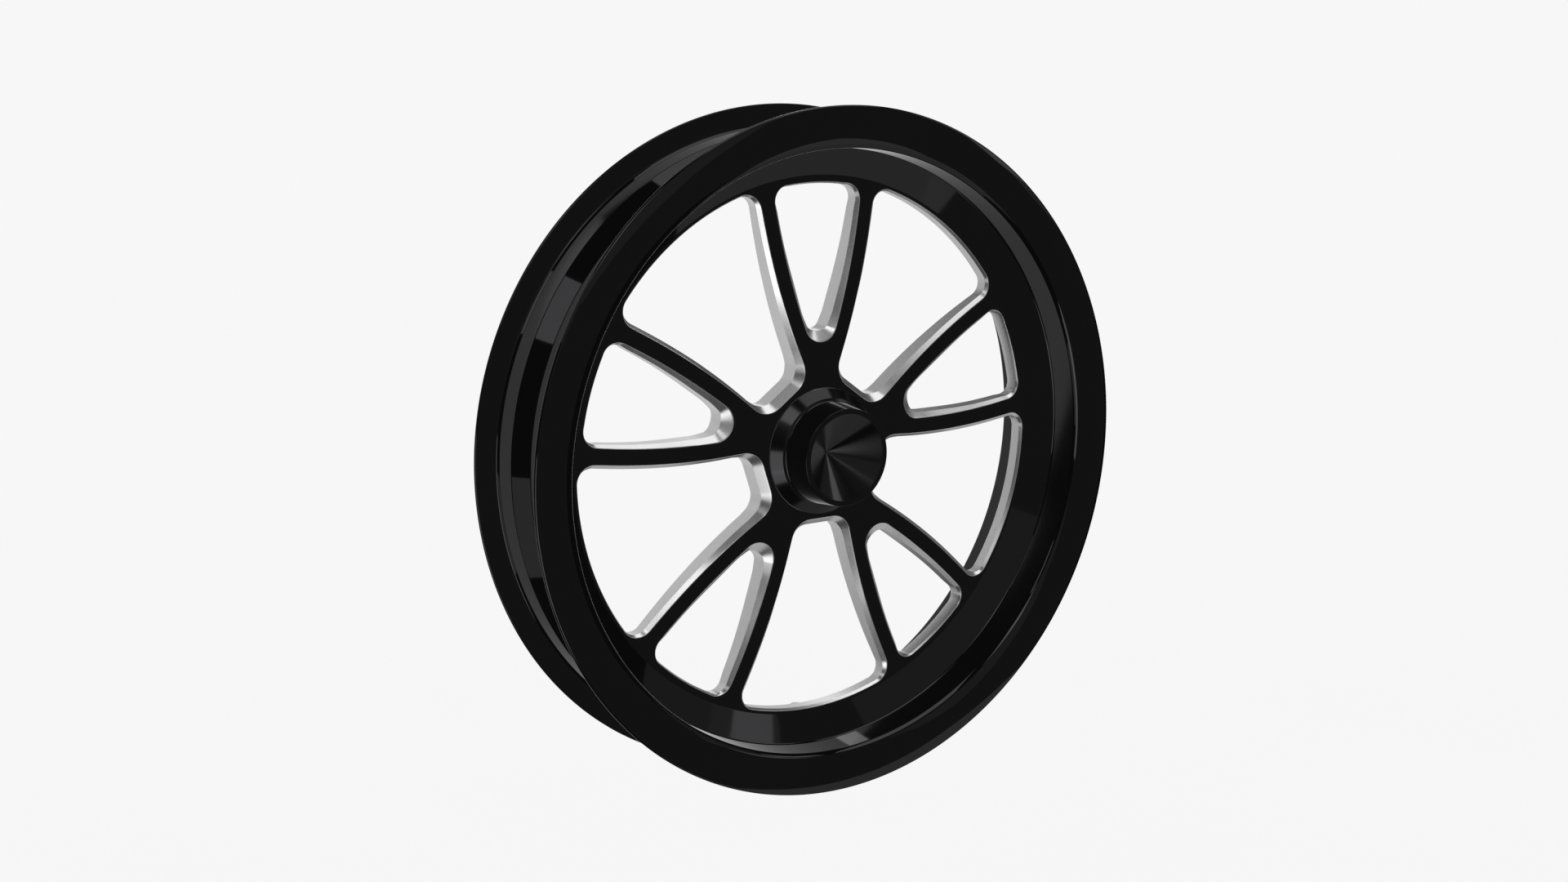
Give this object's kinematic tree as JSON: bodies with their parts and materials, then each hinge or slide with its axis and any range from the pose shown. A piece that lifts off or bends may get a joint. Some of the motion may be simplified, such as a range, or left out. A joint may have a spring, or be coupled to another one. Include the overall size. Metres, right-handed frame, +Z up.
{
  "type": "racing wheel",
  "caption": "Narrow 17 inch drag racing front wheel with five forked spokes, gloss black with bright machined edges, on its spindle bearings under a dust cap.",
  "frame": {"origin": "centre of the wheel: on its axis, half way between the two flange edges", "axes": "+Y is the wheel's axis and points to the car, so -Y is the street side seen in the picture; +Z is up; +X is to the right seen from the street side; the valve is at the bottom, on -Z"},
  "size_m": [0.4666, 0.091, 0.4666],
  "materials": {
    "gloss_black": "gloss black coat over machined alloy",
    "bare_alloy": "satin",
    "bearing_steel": "ground",
    "cage_steel": "satin",
    "dark_steel": "satin",
    "zinc_steel": "satin",
    "rubber": "matte",
    "brass": "satin"
  },
  "bodies": {
    "spindle_side": {"outer_bearing_cone": "bearing_steel", "inner_bearing_cone": "bearing_steel", "bearing_spacer": "zinc_steel", "thrust_washer": "zinc_steel", "spindle_nut": "zinc_steel", "cotter_pin": "zinc_steel"},
    "wheel": {"rim_hoop": "gloss_black", "wheel_centre": "gloss_black", "hub_barrel": "gloss_black", "dust_cap": "gloss_black", "valve_stem": "bare_alloy", "valve_washer": "bare_alloy", "valve_nut": "bare_alloy", "valve_cap": "bare_alloy", "outer_bearing_cup": "bearing_steel", "inner_bearing_cup": "bearing_steel", "hub_screw_1": "dark_steel", "hub_screw_2": "dark_steel", "hub_screw_3": "dark_steel", "hub_screw_4": "dark_steel", "hub_screw_5": "dark_steel", "grease_seal_case": "zinc_steel", "grease_seal_spring": "bearing_steel", "grease_seal_lip": "rubber", "cap_o_ring": "rubber", "valve_grommet": "rubber", "valve_core": "brass"},
    "outer_cage": {"outer_bearing_cage": "cage_steel", "outer_roller_1": "bearing_steel", "outer_roller_2": "bearing_steel", "outer_roller_3": "bearing_steel", "outer_roller_4": "bearing_steel", "outer_roller_5": "bearing_steel", "outer_roller_6": "bearing_steel", "outer_roller_7": "bearing_steel", "outer_roller_8": "bearing_steel", "outer_roller_9": "bearing_steel", "outer_roller_10": "bearing_steel", "outer_roller_11": "bearing_steel", "outer_roller_12": "bearing_steel"},
    "inner_cage": {"inner_bearing_cage": "cage_steel", "inner_roller_1": "bearing_steel", "inner_roller_2": "bearing_steel", "inner_roller_3": "bearing_steel", "inner_roller_4": "bearing_steel", "inner_roller_5": "bearing_steel", "inner_roller_6": "bearing_steel", "inner_roller_7": "bearing_steel", "inner_roller_8": "bearing_steel", "inner_roller_9": "bearing_steel", "inner_roller_10": "bearing_steel", "inner_roller_11": "bearing_steel", "inner_roller_12": "bearing_steel"}
  },
  "joints": [
    {"name": "wheel_spin", "type": "hinge", "parent": "spindle_side", "child": "wheel", "pos_m": [0, 0, 0], "axis": [0, 1, 0], "continuous": true},
    {"name": "outer_cage_spin", "type": "hinge", "parent": "spindle_side", "child": "outer_cage", "pos_m": [0, 0, 0], "axis": [0, 1, 0], "continuous": true},
    {"name": "inner_cage_spin", "type": "hinge", "parent": "spindle_side", "child": "inner_cage", "pos_m": [0, 0, 0], "axis": [0, 1, 0], "continuous": true}
  ],
  "couplings": [
    {"joint": "outer_cage_spin", "follows": "wheel_spin", "ratio": 0.584},
    {"joint": "inner_cage_spin", "follows": "wheel_spin", "ratio": 0.584}
  ]
}
